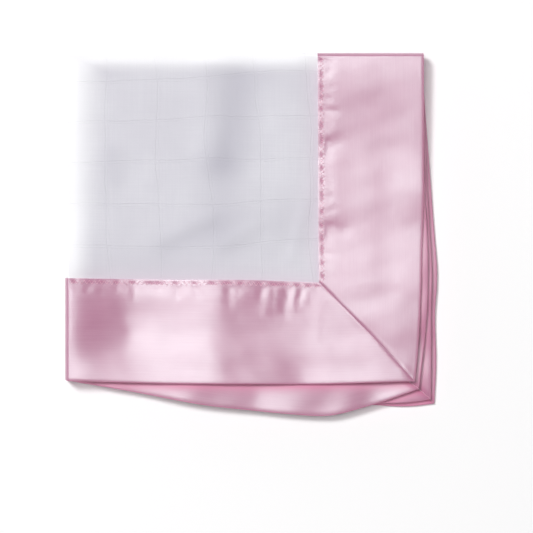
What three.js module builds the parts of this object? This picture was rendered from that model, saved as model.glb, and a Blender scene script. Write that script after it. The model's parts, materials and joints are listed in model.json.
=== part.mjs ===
// A comfort blanket of white muslin with a wide pink satin border, folded in quarters.
// Millimetres, Z up. The blanket lies on a floor at z = 0 and is seen from above:
// the fold between left and right halves runs along the left edge, the fold between
// near and far halves along the far edge, and the free edges lie right and near.
// Quarter 1 is the top layer and quarter 4 lies on the floor.
import * as THREE from "three";

// The open blanket and its cloth
const QUARTER_SIDE = 200;   // one quarter, from a fold line to the bound edge
const BORDER = 57.5;        // satin border, from the bound edge to the stitch line
const SATIN = 0.4;          // thickness of the satin
const MUSLIN = 0.4;         // thickness of one muslin ply
const CLEAR = 0.3;          // air between neighbouring pieces of one quarter

// The way it is folded
const LAYER_GAP = 0.6;      // air between two quarters that lie on each other
const FOLD_GAP = 0.3;       // air between the two sides of one fold line
const FOLD_INSIDE = 0.5;    // inside radius of a fold
const WAVE_TALL = 2;        // how far the whole stack ripples above the floor

// The sewing
const THREAD_THICK = 0.4;
const THREAD_WIDE = 0.5;
const STITCH_PITCH = 12;    // one full zigzag
const STITCH_BITE = 1.5;    // how far the zigzag swings across its line
const MITRE_THREAD = 0.4;   // width of the seam that closes a mitred corner

const LAYER_COUNT = 4;      // quarters in the folded stack

// How finely the cloth is faceted
const ROLL_STEPS = 3;       // steps round a fold
const FIELD_STEPS = 6;      // steps from a fold to the stitch line
const BORDER_STEPS = 3;     // steps across the border
const RIM_STEPS = 4;        // steps round a bound edge

// Outlines, seen from above. Each pair is how far along the edge, and how far that
// edge lies from its fold line, as a share of the quarter's side. Chosen by hand.
const rightEdgeShares = [
  [[0, 1.008], [0.45, 1.008], [0.75, 1.0], [0.93, 0.991], [1, 0.983]],
  [[0, 1.008], [0.4, 1.01], [0.55, 1.02], [0.7, 1.022], [0.85, 1.014], [1, 0.996]],
  [[0, 1.004], [0.41, 1.02], [0.64, 1.035], [0.75, 1.03], [0.87, 1.032], [1, 1.03]],
  [[0, 1.004], [0.41, 1.033], [0.64, 1.051], [0.75, 1.041], [0.87, 1.048], [1, 1.041]],
];
const nearEdgeShares = [
  [[0, 0.921], [0.3, 0.93], [0.7, 0.932], [1, 0.9225]],
  [[0, 0.919], [0.2, 0.955], [0.39, 0.992], [0.6, 1.014], [0.74, 1.025], [0.9, 0.98],
    [1, 0.945]],
  [[0, 0.92], [0.3, 0.95], [0.6, 0.975], [0.83, 0.985], [0.92, 0.988], [1, 0.975]],
  [[0, 0.922], [0.1, 0.942], [0.3, 0.96], [0.6, 0.985], [0.83, 0.9915], [0.92, 0.999],
    [1, 0.988]],
];
// How wide the border lies there, as a share of its full width
const rightBorderShares = [
  [[0, 1.0], [0.5, 0.99], [1, 0.92]],
  [[0, 1.0], [1, 0.97]],
  [[0, 1.0], [1, 1.0]],
  [[0, 1.0], [1, 1.0]],
];
const nearBorderShares = [
  [[0, 0.97], [0.5, 0.99], [1, 0.92]],
  [[0, 1.0], [1, 0.97]],
  [[0, 1.0], [1, 1.0]],
  [[0, 1.0], [1, 1.0]],
];
// Ripples: middle across and down, half widths, all as shares of the quarter's side,
// and height as a share of the full ripple. All four layers ripple alike, so that they
// clear each other in every way of folding. Both folds and the corner stay flat.
const rippleShares = [
  [0.37, 0.86, 0.2, 0.32, 0.9],
  [0.7, 0.88, 0.18, 0.3, 0.6],
  [0.9, 0.65, 0.3, 0.2, 0.8],
  [0.88, 0.34, 0.3, 0.2, 0.6],
  [0.48, 0.46, 0.34, 0.32, 0.45],
];

// Worked out from the sizes above
const HALF_THICK = CLEAR / 2 + MUSLIN + CLEAR + SATIN;
const PLY_TOP = CLEAR / 2 + MUSLIN;
const POCKET = HALF_THICK - SATIN;
const LAYER_PITCH = 2 * HALF_THICK + LAYER_GAP;
const ROLL = HALF_THICK + FOLD_INSIDE;
const MITRE_GAP = Math.SQRT2 * (CLEAR + MITRE_THREAD / 2);

// The four quarters, top one first
const QUARTERS = Array.from({ length: LAYER_COUNT }, (_, k) => k + 1).map((number) => {
  const outer = number === 1 || number === LAYER_COUNT;
  const upper = number <= LAYER_COUNT / 2;
  const level = LAYER_COUNT - number;
  // the fold on the left: the outer pair wraps round the inner pair
  const inset = outer ? 0 : 2 * HALF_THICK + CLEAR;
  const toSecond = (outer ? 1.5 : 0.5) * LAYER_PITCH - FOLD_GAP / 2;
  const toFirst = LAYER_PITCH / 2 - FOLD_GAP / 2;
  const start = FOLD_GAP / 2 + HALF_THICK + ROLL;
  return {
    name: `quarter_${number}`,
    index: number - 1,
    front: number % 2 === 1 ? 1 : -1,
    middle: HALF_THICK + level * LAYER_PITCH,
    left: { start: start + inset, reach: toSecond, toward: upper ? -1 : 1 },
    far: { start, reach: toFirst, toward: number % 2 === 1 ? -1 : 1 },
  };
});

function between(pairShares, share) {
  for (let k = 1; k < pairShares.length; k += 1) {
    const [a, low] = pairShares[k - 1];
    const [b, high] = pairShares[k];
    if (share <= b) return low + ((high - low) * (share - a)) / (b - a);
  }
  return pairShares[pairShares.length - 1][1];
}

function ripple(x, down) {
  let sum = 0;
  for (const [midX, midDown, halfX, halfDown, height] of rippleShares) {
    const a = (x / QUARTER_SIDE - midX) / halfX;
    const b = (down / QUARTER_SIDE - midDown) / halfDown;
    const inside = 1 - a * a - b * b;
    if (inside > 0) sum += height * inside * inside;
  }
  return WAVE_TALL * sum;
}

// Cloth that rolls into a fold. outward is the height above the middle of the cloth on
// the outside of the bend, turn runs from 1 where it is flat to 0 at the fold line.
function roll(fold, outward, turn) {
  const radius = ROLL + outward;
  const rightAngle = Math.PI / 2;
  if (fold.reach > ROLL) {
    const angle = Math.min(1, (1 - turn) * 1.5) * rightAngle;
    const straight = Math.max(0, 1 - 3 * turn) * (fold.reach - ROLL);
    return {
      from: fold.start - radius * Math.sin(angle),
      drop: radius * (1 - Math.cos(angle)) + straight,
    };
  }
  const angle = Math.acos((ROLL - fold.reach) / radius) * (1 - turn);
  return {
    from: fold.start - radius * Math.sin(angle),
    drop: radius * (1 - Math.cos(angle)),
  };
}

// Stations from a fold line out to the bound edge. field is the share of the way from
// the fold to the stitch line, border the share from there to the rim.
const STATIONS = [];
for (let k = 0; k < ROLL_STEPS; k += 1) {
  STATIONS.push({ turn: k / ROLL_STEPS, field: 0, border: 0, past: 0 });
}
for (let k = 0; k <= FIELD_STEPS; k += 1) {
  STATIONS.push({ turn: 1, field: k / FIELD_STEPS, border: 0, past: 0 });
}
for (let k = 1; k <= BORDER_STEPS; k += 1) {
  STATIONS.push({ turn: 1, field: 1, border: k / BORDER_STEPS, past: 0 });
}
const FLAT = ROLL_STEPS;
const SEAM = ROLL_STEPS + FIELD_STEPS;
const RIM = STATIONS.length - 1;

function alongShare(station) {
  const seam = 1 - BORDER / QUARTER_SIDE;
  return station.field * seam + station.border * (1 - seam);
}

function lineUp(station, from, start, edge, border) {
  const seam = edge - border;
  const rim = edge - HALF_THICK;
  return from + station.field * (seam - start) + station.border * (rim - seam)
    + station.past;
}

// A point of one quarter: column and row stations, and height over its middle.
function point(quarter, column, row, height) {
  const side = roll(quarter.left, -quarter.left.toward * height, column.turn);
  const head = roll(quarter.far, -quarter.far.toward * height, row.turn);
  const k = quarter.index;
  const x = lineUp(column, side.from, quarter.left.start,
    QUARTER_SIDE * between(rightEdgeShares[k], alongShare(row)),
    BORDER * between(rightBorderShares[k], alongShare(row)));
  const down = lineUp(row, head.from, quarter.far.start,
    QUARTER_SIDE * between(nearEdgeShares[k], alongShare(column)),
    BORDER * between(nearBorderShares[k], alongShare(column)));
  const together = quarter.left.toward === quarter.far.toward;
  const lift = together
    ? quarter.left.toward * Math.max(side.drop, head.drop)
    : quarter.left.toward * side.drop + quarter.far.toward * head.drop;
  const z = quarter.middle + height + lift + ripple(x, down);
  return new THREE.Vector3(x, -down, z);
}

// A point on the facets themselves, at a whole and a part of a station each way.
function onFacet(quarter, column, row, height) {
  const c = Math.min(RIM - 1, Math.max(0, Math.floor(column)));
  const r = Math.min(RIM - 1, Math.max(0, Math.floor(row)));
  const a = column - c;
  const b = row - r;
  const here = point(quarter, STATIONS[c], STATIONS[r], height);
  const last = point(quarter, STATIONS[c + 1], STATIONS[r + 1], height);
  const other = a >= b
    ? point(quarter, STATIONS[c + 1], STATIONS[r], height)
    : point(quarter, STATIONS[c], STATIONS[r + 1], height);
  const big = Math.max(a, b);
  const small = Math.min(a, b);
  return here.clone().addScaledVector(other.clone().sub(here), big)
    .addScaledVector(last.clone().sub(other), small);
}

// A closed skin between two rows of stations. Each station is a run of points, and
// neighbouring runs may differ by one point, which a single triangle closes.
function skin(outside, inside) {
  const positions = [];
  const faces = [];
  const loop = [...outside, ...inside.slice().reverse()];
  loop.forEach((run) => {
    run.first = positions.length / 3;
    run.points.forEach((p) => positions.push(p.x, p.y, p.z));
  });
  loop.forEach((s, k) => {
    const t = loop[(k + 1) % loop.length];
    const common = Math.min(s.points.length, t.points.length) - 1;
    for (let j = 0; j < common; j += 1) {
      const [a, b, c, d] = [s.first + j, s.first + j + 1, t.first + j + 1, t.first + j];
      if (s.level <= t.level) faces.push([a, b, c], [a, c, d]);
      else faces.push([a, b, d], [b, c, d]);
    }
    if (t.points.length > common + 1) {
      faces.push([s.first + common, t.first + common + 1, t.first + common]);
    } else if (s.points.length > common + 1) {
      faces.push([s.first + common, s.first + common + 1, t.first + common]);
    }
  });
  const end = (run) => run.first + run.points.length - 1;
  for (let k = 1; k < outside.length; k += 1) {
    const [o, p, q, i] = [outside[k - 1], outside[k], inside[k], inside[k - 1]];
    faces.push([o.first, p.first, q.first], [o.first, q.first, i.first]);
    faces.push([end(o), end(i), end(q)], [end(o), end(q), end(p)]);
  }
  const corner = (k) => new THREE.Vector3().fromArray(positions, 3 * k);
  const volume = faces.reduce((sum, [a, b, c]) => (
    sum + corner(a).dot(corner(b).cross(corner(c)))), 0);
  const geometry = new THREE.BufferGeometry();
  geometry.setAttribute("position", new THREE.Float32BufferAttribute(positions, 3));
  geometry.setIndex(faces.flatMap(([a, b, c]) => (volume > 0 ? [a, b, c] : [a, c, b])));
  geometry.computeVertexNormals();
  return geometry;
}

// One muslin ply, under the whole quarter and into the pockets of the border.
function ply(quarter, low, high) {
  const sheet = (height) => STATIONS.map((column, level) => ({
    level,
    points: STATIONS.map((row) => point(quarter, column, row, height)),
  }));
  return skin(sheet(high), sheet(low));
}

// One strip of satin, folded round the edge of the muslin and mitred at the corner.
// side is true along the right edge and false along the near edge.
function binding(quarter, side) {
  const place = (across, along, height) => {
    const [column, row] = side ? [across, along] : [along, across];
    const spot = point(quarter, column, row, height);
    return spot;
  };
  const mitre = (spot) => {
    if (side) spot.y += MITRE_GAP;
    else spot.x -= MITRE_GAP;
    return spot;
  };
  const run = (level, height) => {
    const across = STATIONS[SEAM + level];
    const points = STATIONS.slice(0, SEAM + level + 1)
      .map((along) => place(across, along, height));
    mitre(points[points.length - 1]);
    return { level, points };
  };
  const rim = (angle, radius) => {
    const past = radius * Math.sin(angle);
    const height = radius * Math.cos(angle);
    const across = { ...STATIONS[RIM], past };
    const points = [...STATIONS, across].map((along) => place(across, along, height));
    mitre(points[points.length - 1]);
    return { level: RIM, points };
  };
  const wrap = (radius) => {
    const levels = STATIONS.slice(SEAM).map((_, level) => level);
    const runs = levels.map((level) => run(level, radius));
    for (let k = 1; k < RIM_STEPS; k += 1) {
      runs.push(rim((Math.PI * k) / RIM_STEPS, radius));
    }
    return [...runs, ...levels.reverse().map((level) => run(level, -radius))];
  };
  return skin(wrap(HALF_THICK), wrap(POCKET));
}

// The seam that closes the mitre: down the front, round the corner and up the back.
function mitreSeam(quarter) {
  const path = (radius, sideways) => {
    const spots = STATIONS.slice(SEAM).map((s) => [s, radius]);
    for (let k = 1; k < RIM_STEPS; k += 1) {
      const angle = (Math.PI * k) / RIM_STEPS;
      const past = radius * Math.sin(angle);
      spots.push([{ ...STATIONS[RIM], past }, radius * Math.cos(angle)]);
    }
    STATIONS.slice(SEAM).reverse().forEach((s) => spots.push([s, -radius]));
    const shift = (sideways * MITRE_THREAD) / Math.SQRT2 / 2;
    return spots.map(([s, height]) => {
      const spot = point(quarter, s, s, height);
      return spot.add(new THREE.Vector3(shift, shift, 0));
    });
  };
  const pair = (radius) => [-1, 1].map((sideways, level) => (
    { level, points: path(radius, sideways) }));
  return skin(pair(HALF_THICK), pair(HALF_THICK - THREAD_THICK));
}

// A row of zigzag stitches in the step between the satin's edge and the muslin.
// face is 1 on the upper side of this quarter and -1 on its lower side.
function stitches(quarter, side, face) {
  const spot = (across, along, height) => (side
    ? onFacet(quarter, across, along, height)
    : onFacet(quarter, along, across, height));
  const level = face * HALF_THICK;
  const length = spot(SEAM, FLAT, level).distanceTo(spot(SEAM, SEAM, level));
  const cell = spot(SEAM - 1, SEAM, level).distanceTo(spot(SEAM, SEAM, level));
  const near = CLEAR + THREAD_WIDE;
  const far = near + STITCH_BITE;
  const first = CLEAR;
  const last = length - (side ? far + THREAD_WIDE + CLEAR : near);
  const halves = Math.max(2, 2 * Math.round((last - first) / STITCH_PITCH));
  const line = [];
  for (let k = 0; k <= halves; k += 1) {
    line.push(new THREE.Vector2(k % 2 ? far : near, first + ((last - first) * k) / halves));
  }
  const edge = (sideways, height) => line.map((here, k) => {
    const before = line[Math.max(0, k - 1)];
    const after = line[Math.min(halves, k + 1)];
    const into = here.clone().sub(before).normalize();
    const out = after.clone().sub(here).normalize();
    const way = into.add(out).normalize();
    const across = new THREE.Vector2(-way.y, way.x);
    const at = here.clone().addScaledVector(across, (sideways * THREAD_WIDE) / 2);
    const along = FLAT + (FIELD_STEPS * at.y) / length;
    return spot(SEAM - at.x / cell, along, height);
  });
  const pair = (height) => [-1, 1].map((sideways, k) => (
    { level: k, points: edge(sideways, height) }));
  return skin(pair(level), pair(level - face * THREAD_THICK));
}

const LOOKS = {
  satin: () => new THREE.MeshStandardMaterial({ color: 0xe6bccd, roughness: 0.35 }),
  muslin: () => new THREE.MeshStandardMaterial({ color: 0xf2f1f3, roughness: 0.95 }),
  thread: () => new THREE.MeshStandardMaterial({ color: 0xd98ba2, roughness: 0.7 }),
};

const blanket = new THREE.Group();
blanket.name = "comfort_blanket";

function add(name, geometry, look) {
  const mesh = new THREE.Mesh(geometry, LOOKS[look]());
  mesh.name = name;
  blanket.add(mesh);
}

for (const quarter of QUARTERS) {
  for (const [face, label] of [[1, "front"], [-1, "back"]]) {
    const up = face * quarter.front;
    const [low, high] = up > 0 ? [CLEAR / 2, PLY_TOP] : [-PLY_TOP, -CLEAR / 2];
    add(`${quarter.name}_muslin_${label}`, ply(quarter, low, high), "muslin");
    add(`${quarter.name}_side_stitches_${label}`, stitches(quarter, true, up), "thread");
    add(`${quarter.name}_end_stitches_${label}`, stitches(quarter, false, up), "thread");
  }
  add(`${quarter.name}_side_binding`, binding(quarter, true), "satin");
  add(`${quarter.name}_end_binding`, binding(quarter, false), "satin");
  add(`${quarter.name}_mitre_seam`, mitreSeam(quarter), "thread");
}

// The middle of the box that the folded blanket fills goes over the origin.
const box = new THREE.Box3().setFromObject(blanket);
const middle = box.getCenter(new THREE.Vector3());
blanket.children.forEach((mesh) => {
  mesh.geometry.translate(-middle.x, -middle.y, -box.min.z);
});

const least = (quarter, other) => Math.abs(quarter.middle - other.middle) / 2;
const second = (QUARTERS[1].middle + QUARTERS[2].middle) / 2;
console.log("fold lines in mm, left x and far y:", -middle.x, -middle.y);
console.log("heights in mm, second fold and first folds:", second,
  QUARTERS[1].middle + least(QUARTERS[0], QUARTERS[1]),
  QUARTERS[3].middle + least(QUARTERS[2], QUARTERS[3]));

export default blanket;
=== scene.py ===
# %% [markdown]
# # A comfort blanket, folded in quarters
# The real blanket is a square of thin white muslin, two plies thick, with a wide strip
# of pink satin folded round each edge. It lies folded at two lines, so four layers are
# stacked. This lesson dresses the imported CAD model: every solid of cloth gets a finer
# piece in its place, with real folds, puckers, stitches and weaves.

# %% Load the frame
import json
import math
import bpy
import numpy as np
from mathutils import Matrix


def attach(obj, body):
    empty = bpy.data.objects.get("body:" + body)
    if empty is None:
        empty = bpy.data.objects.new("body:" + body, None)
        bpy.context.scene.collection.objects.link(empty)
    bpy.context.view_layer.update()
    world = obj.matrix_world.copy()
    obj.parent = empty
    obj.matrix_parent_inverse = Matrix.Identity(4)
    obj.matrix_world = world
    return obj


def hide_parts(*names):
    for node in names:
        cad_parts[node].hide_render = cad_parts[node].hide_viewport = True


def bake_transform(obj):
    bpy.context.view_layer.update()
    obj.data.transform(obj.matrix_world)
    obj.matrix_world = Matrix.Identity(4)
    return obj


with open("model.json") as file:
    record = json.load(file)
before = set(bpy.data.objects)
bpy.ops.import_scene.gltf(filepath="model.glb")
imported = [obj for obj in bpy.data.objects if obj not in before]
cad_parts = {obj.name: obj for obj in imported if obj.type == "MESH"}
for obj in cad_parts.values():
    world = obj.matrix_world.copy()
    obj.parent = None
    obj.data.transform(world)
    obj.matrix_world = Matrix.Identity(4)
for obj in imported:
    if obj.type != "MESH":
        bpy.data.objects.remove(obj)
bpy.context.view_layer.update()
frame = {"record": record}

joints = {joint["name"]: joint for joint in frame["record"]["behaviour"]["joints"]}

# %% [markdown]
# ## Where the folds are
# We work in millimetres measured from the two fold lines: x runs right from the left
# fold, and down runs towards the viewer from the far fold. That is how a person who
# folds the blanket would measure it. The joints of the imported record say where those
# lines are, and at what height each fold turns.

# %% Fold lines
MM = 0.001
LEFT_FOLD = joints["second_fold"]["pos_m"][0] / MM
FAR_FOLD = joints["first_fold_upper"]["pos_m"][1] / MM
SECOND_Z = joints["second_fold"]["pos_m"][2] / MM
UPPER_Z = joints["first_fold_upper"]["pos_m"][2] / MM
LOWER_Z = joints["first_fold_lower"]["pos_m"][2] / MM
HALF_PITCH = (UPPER_Z - LOWER_Z) / 4
print("left fold x", LEFT_FOLD, "far fold y", FAR_FOLD, "heights", LOWER_Z, SECOND_Z, UPPER_Z)


def to_frame(x, down, z):
    """Points in the frame's metres from millimetres off the fold lines."""
    return np.stack([(LEFT_FOLD + x) * MM, (FAR_FOLD - down) * MM, z * MM], axis=-1)


# %% [markdown]
# ## Sizes of the cloth
# The flat sizes are those of the CAD source: a quarter is 200 mm from a fold line to
# the bound edge, and the satin reaches 57.5 mm in from that edge. The tables say how
# far each layer's edges lie from the folds, because folded cloth never stacks exactly.

# %% Cloth sizes
SIDE = 200.0  # from a fold line to the bound edge
BORDER = 57.5  # from the bound edge to the stitches
LIP = BORDER + 2.1  # from the bound edge to the satin's inner edge
FIELD = SIDE - BORDER  # from a fold line to the stitches
OPENING = SIDE - LIP  # from a fold line to the satin's inner edge
HALF_THICK = 1.25  # from the middle of a layer to the face of its satin
PLY = SATIN = 0.3  # thickness of a sheet
print("a quarter is", SIDE, "mm each way, with", BORDER, "mm of satin along two edges")

# %% Outlines of the layers
# For each layer, places along an edge and the edge's distance from the fold there, all
# as shares of SIDE
RIGHT_EDGE = [
    [(0, 1.008), (0.45, 1.008), (0.75, 1.0), (0.93, 0.991), (1, 0.983)],
    [(0, 1.008), (0.4, 1.01), (0.55, 1.02), (0.7, 1.022), (0.85, 1.014), (1, 0.996)],
    [(0, 1.004), (0.41, 1.02), (0.64, 1.035), (0.75, 1.03), (0.87, 1.032), (1, 1.03)],
    [(0, 1.004), (0.41, 1.033), (0.64, 1.051), (0.75, 1.041), (0.87, 1.048), (1, 1.041)],
]
NEAR_EDGE = [
    [(0, 0.921), (0.3, 0.93), (0.7, 0.932), (1, 0.9225)],
    [(0, 0.919), (0.2, 0.955), (0.39, 0.992), (0.6, 1.014), (0.74, 1.025), (0.9, 0.98),
     (1, 0.945)],
    [(0, 0.92), (0.3, 0.95), (0.6, 0.975), (0.83, 0.985), (0.92, 0.988), (1, 0.975)],
    [(0, 0.922), (0.1, 0.942), (0.3, 0.96), (0.6, 0.985), (0.83, 0.9915), (0.92, 0.999),
     (1, 0.988)],
]
# The same for the width of the border, as a share of BORDER
EVEN, NARROWING = [(0, 1.0), (1, 1.0)], [(0, 1.0), (1, 0.97)]
RIGHT_BORDER = [[(0, 1.0), (0.5, 0.99), (1, 0.92)], NARROWING, EVEN, EVEN]
NEAR_BORDER = [[(0, 0.97), (0.5, 0.99), (1, 0.92)], NARROWING, EVEN, EVEN]
CURVE_STEP, CURVE_REACH = 0.0025, 60  # a curve's grid, and how many steps of it blur
CURVE_FROM, CURVE_TO, CURVE_POINTS = -0.2, 1.2, 561


def hump(offset, width):
    """1 where the offset is 0, and softly less on both sides."""
    return np.exp(-(offset / width) ** 2)


def blur_weights(reach, step, blur):
    weights = hump(np.arange(-reach, reach + 1) * step, blur)
    return weights / weights.sum()


def soft_curve(pairs, blur=0.05):
    """A table of pairs as a smooth curve: straight between the pairs, then blurred."""
    grid = np.linspace(CURVE_FROM, CURVE_TO, CURVE_POINTS)
    shares, values = zip(*pairs)
    slope = (values[1] - values[0]) / (shares[1] - shares[0])
    last = (values[-1] - values[-2]) / (shares[-1] - shares[-2])
    line = np.interp(grid, shares, values)
    line = np.where(grid < 0, values[0] + slope * grid, line)
    line = np.where(grid > 1, values[-1] + last * (grid - 1), line)
    soft = np.convolve(np.pad(line, CURVE_REACH, mode="edge"),
                       blur_weights(CURVE_REACH, CURVE_STEP, blur), mode="valid")
    return lambda share: np.interp(share, grid, soft)


right_edge = [soft_curve(pairs) for pairs in RIGHT_EDGE]
near_edge = [soft_curve(pairs) for pairs in NEAR_EDGE]
right_border = [soft_curve(pairs, 0.1) for pairs in RIGHT_BORDER]
near_border = [soft_curve(pairs, 0.1) for pairs in NEAR_BORDER]
print("right edge of the top layer at the middle:", round(SIDE * float(right_edge[0](0.5)), 2))

# %% [markdown]
# ## From the flat cut to the folded plan
# A point of the cloth is named by u and v, its distances from the two fold lines on the
# flat cut. These helpers say where it lies in plan once the blanket is folded, and how
# far the whole stack ripples up there.

# %% Plan and ripples
RIPPLE_TALL = 2.0
# Low domes that the whole stack lies over: middle and half size, across and down, as
# shares of SIDE, and height as a share of RIPPLE_TALL
RIPPLES = [(0.37, 0.86, 0.2, 0.32, 0.9), (0.7, 0.88, 0.18, 0.3, 0.6),
           (0.9, 0.65, 0.3, 0.2, 0.8), (0.88, 0.34, 0.3, 0.2, 0.6),
           (0.48, 0.46, 0.34, 0.32, 0.45)]


def plan(k, u, v):
    """Where the point (u, v) of layer k lies: x from the left fold, down from the far one."""
    def line_up(cut, edge, border):
        seam = edge - border
        return np.where(cut < FIELD, cut / FIELD * seam, seam + (cut - FIELD) / BORDER * border)
    x = line_up(u, SIDE * right_edge[k](v / SIDE), BORDER * right_border[k](v / SIDE))
    down = line_up(v, SIDE * near_edge[k](u / SIDE), BORDER * near_border[k](u / SIDE))
    return x, down


def ripple(x, down):
    """How far the low domes lift the whole stack."""
    total = 0
    for mid_x, mid_down, half_x, half_down, height in RIPPLES:
        off_x, off_down = (x / SIDE - mid_x) / half_x, (down / SIDE - mid_down) / half_down
        total = total + height * np.clip(1 - off_x ** 2 - off_down ** 2, 0, None) ** 2
    return RIPPLE_TALL * total


def stroke(x, down, start, end, width, height):
    """A soft ridge (or trough, if height is negative) drawn along a line."""
    ax, ay = start
    bx, by = end
    length = (bx - ax) ** 2 + (by - ay) ** 2
    t = np.clip(((x - ax) * (bx - ax) + (down - ay) * (by - ay)) / length, 0, 1)
    away = (x - ax - t * (bx - ax)) ** 2 + (down - ay - t * (by - ay)) ** 2
    return height * np.exp(-away / width ** 2)


def strokes(table, x, down):
    """All the strokes of a table together."""
    return sum(stroke(x, down, *row) for row in table)


print("the stack lies", round(ripple(80.0, 170.0), 2), "mm up in its near part")

# %% Layers
LAYERS = [
    {"name": f"quarter_{k + 1}",
     "middle": (UPPER_Z if k < 2 else LOWER_Z) + (HALF_PITCH if k % 2 == 0 else -HALF_PITCH),
     "front_up": k % 2 == 0,
     "far_z": UPPER_Z if k < 2 else LOWER_Z}
    for k in range(4)
]


def faces():
    """Each face of each layer: the layer, front or back, and 1 if it looks up, else -1."""
    for k, layer in enumerate(LAYERS):
        for label in ("front", "back"):
            yield k, label, 1 if layer["front_up"] == (label == "front") else -1


for layer in LAYERS:
    print(layer["name"], "middle height", round(layer["middle"], 3))

# %% [markdown]
# ## Creases, puckers and soft hills
# Satin looks like satin because every small slope throws the light another way, so the
# hills and valleys are real geometry. The borders of the top layer billow over two nets
# of heights. The small creases and the hills of the muslin are strokes: each is a ridge
# or trough drawn from one point to another with a width and a height, as a sculptor
# would add it by hand.

# %% Hills of the top layer
# Heights of the top layer's two borders: places across and down in millimetres from the
# folds, then one row of heights for each place down
NEAR_X = [0, 3, 6.5, 15, 25, 34, 40, 48, 58, 70, 81, 88, 98, 108, 117, 125, 133, 144, 160,
          178, 198]
NEAR_DOWN = [127, 137, 147, 158, 168, 178, 190]
NEAR_RELIEF = [
    [3.8, 4, 3.8, 2.8, 1.6, 0.8, 0.5, 0.5, 0.8, 1.2, 1.7, 1.6, 1.3, 0.8, 0.3, 0.2, 0.2, 0.4, 1,
     1.8, 2.6],
    [4, 4.2, 4, 2.9, 1.6, 0.7, 0.4, 0.4, 0.6, 1.1, 1.6, 1.6, 1.2, 0.6, 0.1, 0, 0, 0.2, 0.8,
     1.5, 2.3],
    [4, 4.2, 3.9, 2.7, 1.2, 0.1, -0.2, -0.1, 0.3, 0.9, 1.4, 1.3, 0.8, 0.3, 0, -0.1, -0.1, 0.3,
     1, 1.7, 2.5],
    [3.9, 4.1, 3.8, 2.6, 1.2, 0.1, -0.2, 0, 0.4, 1, 1.5, 1.3, 0.7, 0.3, 0, -0.1, -0.1, 0.3,
     0.9, 1.7, 2.5],
    [3.7, 3.9, 3.7, 2.6, 1.4, 0.7, 0.5, 0.6, 1.1, 1.7, 2.2, 2, 1.5, 1, 0.6, 0.4, 0.3, 0.7, 1.4,
     2.1, 2.9],
    [3.8, 4, 4, 3.4, 2.6, 2, 1.6, 1.3, 1.4, 1.8, 2.2, 2.1, 1.6, 1.2, 0.7, 0.3, -0.1, 0.4, 1.2,
     2.1, 3.1],
    [4, 4.2, 4.2, 3.7, 3.2, 2.9, 2.6, 2.4, 2.4, 2.6, 2.8, 2.8, 2.4, 2, 1.5, 1.1, 0.7, 1.1, 1.9,
     2.8, 3.8],
]
RIGHT_X = [146, 158, 170, 184, 198]
RIGHT_DOWN = [0, 4, 10, 18, 26, 34, 44, 54, 66, 78, 88, 98, 108, 120, 130, 140, 148, 156, 164,
              172, 182, 195]
RIGHT_RELIEF = [
    [2.8, 2.9, 3, 3.1, 3.1], [2.8, 2.9, 3, 3.1, 3.1], [2.7, 2.8, 2.9, 3, 3],
    [2.5, 2.4, 2.5, 2.6, 2.6], [1.9, 1.8, 1.9, 2, 2.2], [1.4, 1.3, 1.3, 1.4, 1.8],
    [1, 0.7, 0.7, 0.8, 1.2], [0.4, 0.3, 0.3, 0.3, 0.8], [0.4, 0, 0.2, 0.1, 0.7],
    [0.4, 0, 0.1, 0, 0.7], [0.6, 0.1, 0.1, -0.1, 0.3], [0.2, -0.1, 0, -0.2, -0.1],
    [0, 0, 0.2, 0, 0.1], [0.5, 0.5, 0.7, 0.5, 0.6], [0.7, 0.8, 1, 1, 1.1],
    [0.7, 1.1, 1.3, 1.4, 1], [1, 1.5, 1.8, 1.8, 1.4], [1.4, 1.9, 1.9, 2.1, 1.5],
    [1.8, 2.3, 1.8, 2.1, 1.4], [2.2, 2.8, 1.7, 2.1, 1.7], [2.7, 3.4, 2.3, 2.5, 2.5],
    [3.4, 4.2, 3.3, 3.4, 3.5],
]
# Strokes: from, to, width and height
CORNER_HILL = ((192, 180), (197, 174), 5, 0.3)
# Sharp little folds: the crinkle in the left hollow and the gathers near the corner
BORDER_CREASES = [
    ((37, 150), (41, 153), 2.2, 0.06),
    ((36, 157), (40, 158), 2.2, -0.05),
    ((115.8, 131), (113, 145), 2.8, 0.14),
    ((112.2, 131), (110, 138), 2.2, -0.1),
    ((119.6, 131), (118.6, 143), 2.2, 0.12),
    ((126.2, 133), (123.6, 146), 2.8, -0.14),
    ((130.0, 131), (127.6, 143), 2.4, 0.14),
    ((134.0, 131), (131.0, 140), 2.0, -0.11),
    ((137.0, 131), (134.6, 140), 2.0, 0.1),
    ((143.4, 133), (141.3, 161), 2.0, 0.05),
    ((145, 55), (152, 50), 4.0, -0.2),
    ((145, 100), (156, 100), 4.5, -0.2),
    ((150, 133), (180, 128), 3.4, 0.05),
    ((156, 142), (184, 136), 3.6, -0.06),
    ((72, 129), (75, 136), 2.4, -0.16),
    ((63, 129), (63.5, 136), 2.2, -0.16),
    ((94, 129), (92, 140), 3.0, -0.16),
]
MUSLIN_HILLS = [
    ((80, 2), (82, 58), 9, 1.3),
    ((102, 6), (97, 56), 10, -0.6),
    ((26, 57), (27, 72), 7, 0.5),
    ((55, 105), (82, 92), 4.5, 0.5),
    ((62, 110), (86, 98), 4.5, -0.25),
    ((87, 109), (106, 98), 4.5, 0.5),
    ((94, 113), (112, 103), 5, -0.25),
    ((127, 116), (139, 72), 3.2, 0.4),
    ((121, 114), (134, 70), 5, -0.2),
    ((10, 14), (12, 120), 9, 1.2),
    ((20, 6), (130, 6), 6, 0.9),
    ((125, 40), (128, 70), 12, 0.5),
]
# Where grey shade is painted on the muslin, over places where it stands off the layer below:
# strength for height
MUSLIN_PAINTED_SHADE = [
    ((99, 8), (91, 60), 12, 1.0),
    ((27, 58), (28, 70), 8, 0.5),
    ((56, 110), (84, 98), 9, 0.5),
    ((84, 66), (92, 104), 13, 0.45),
]
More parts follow.
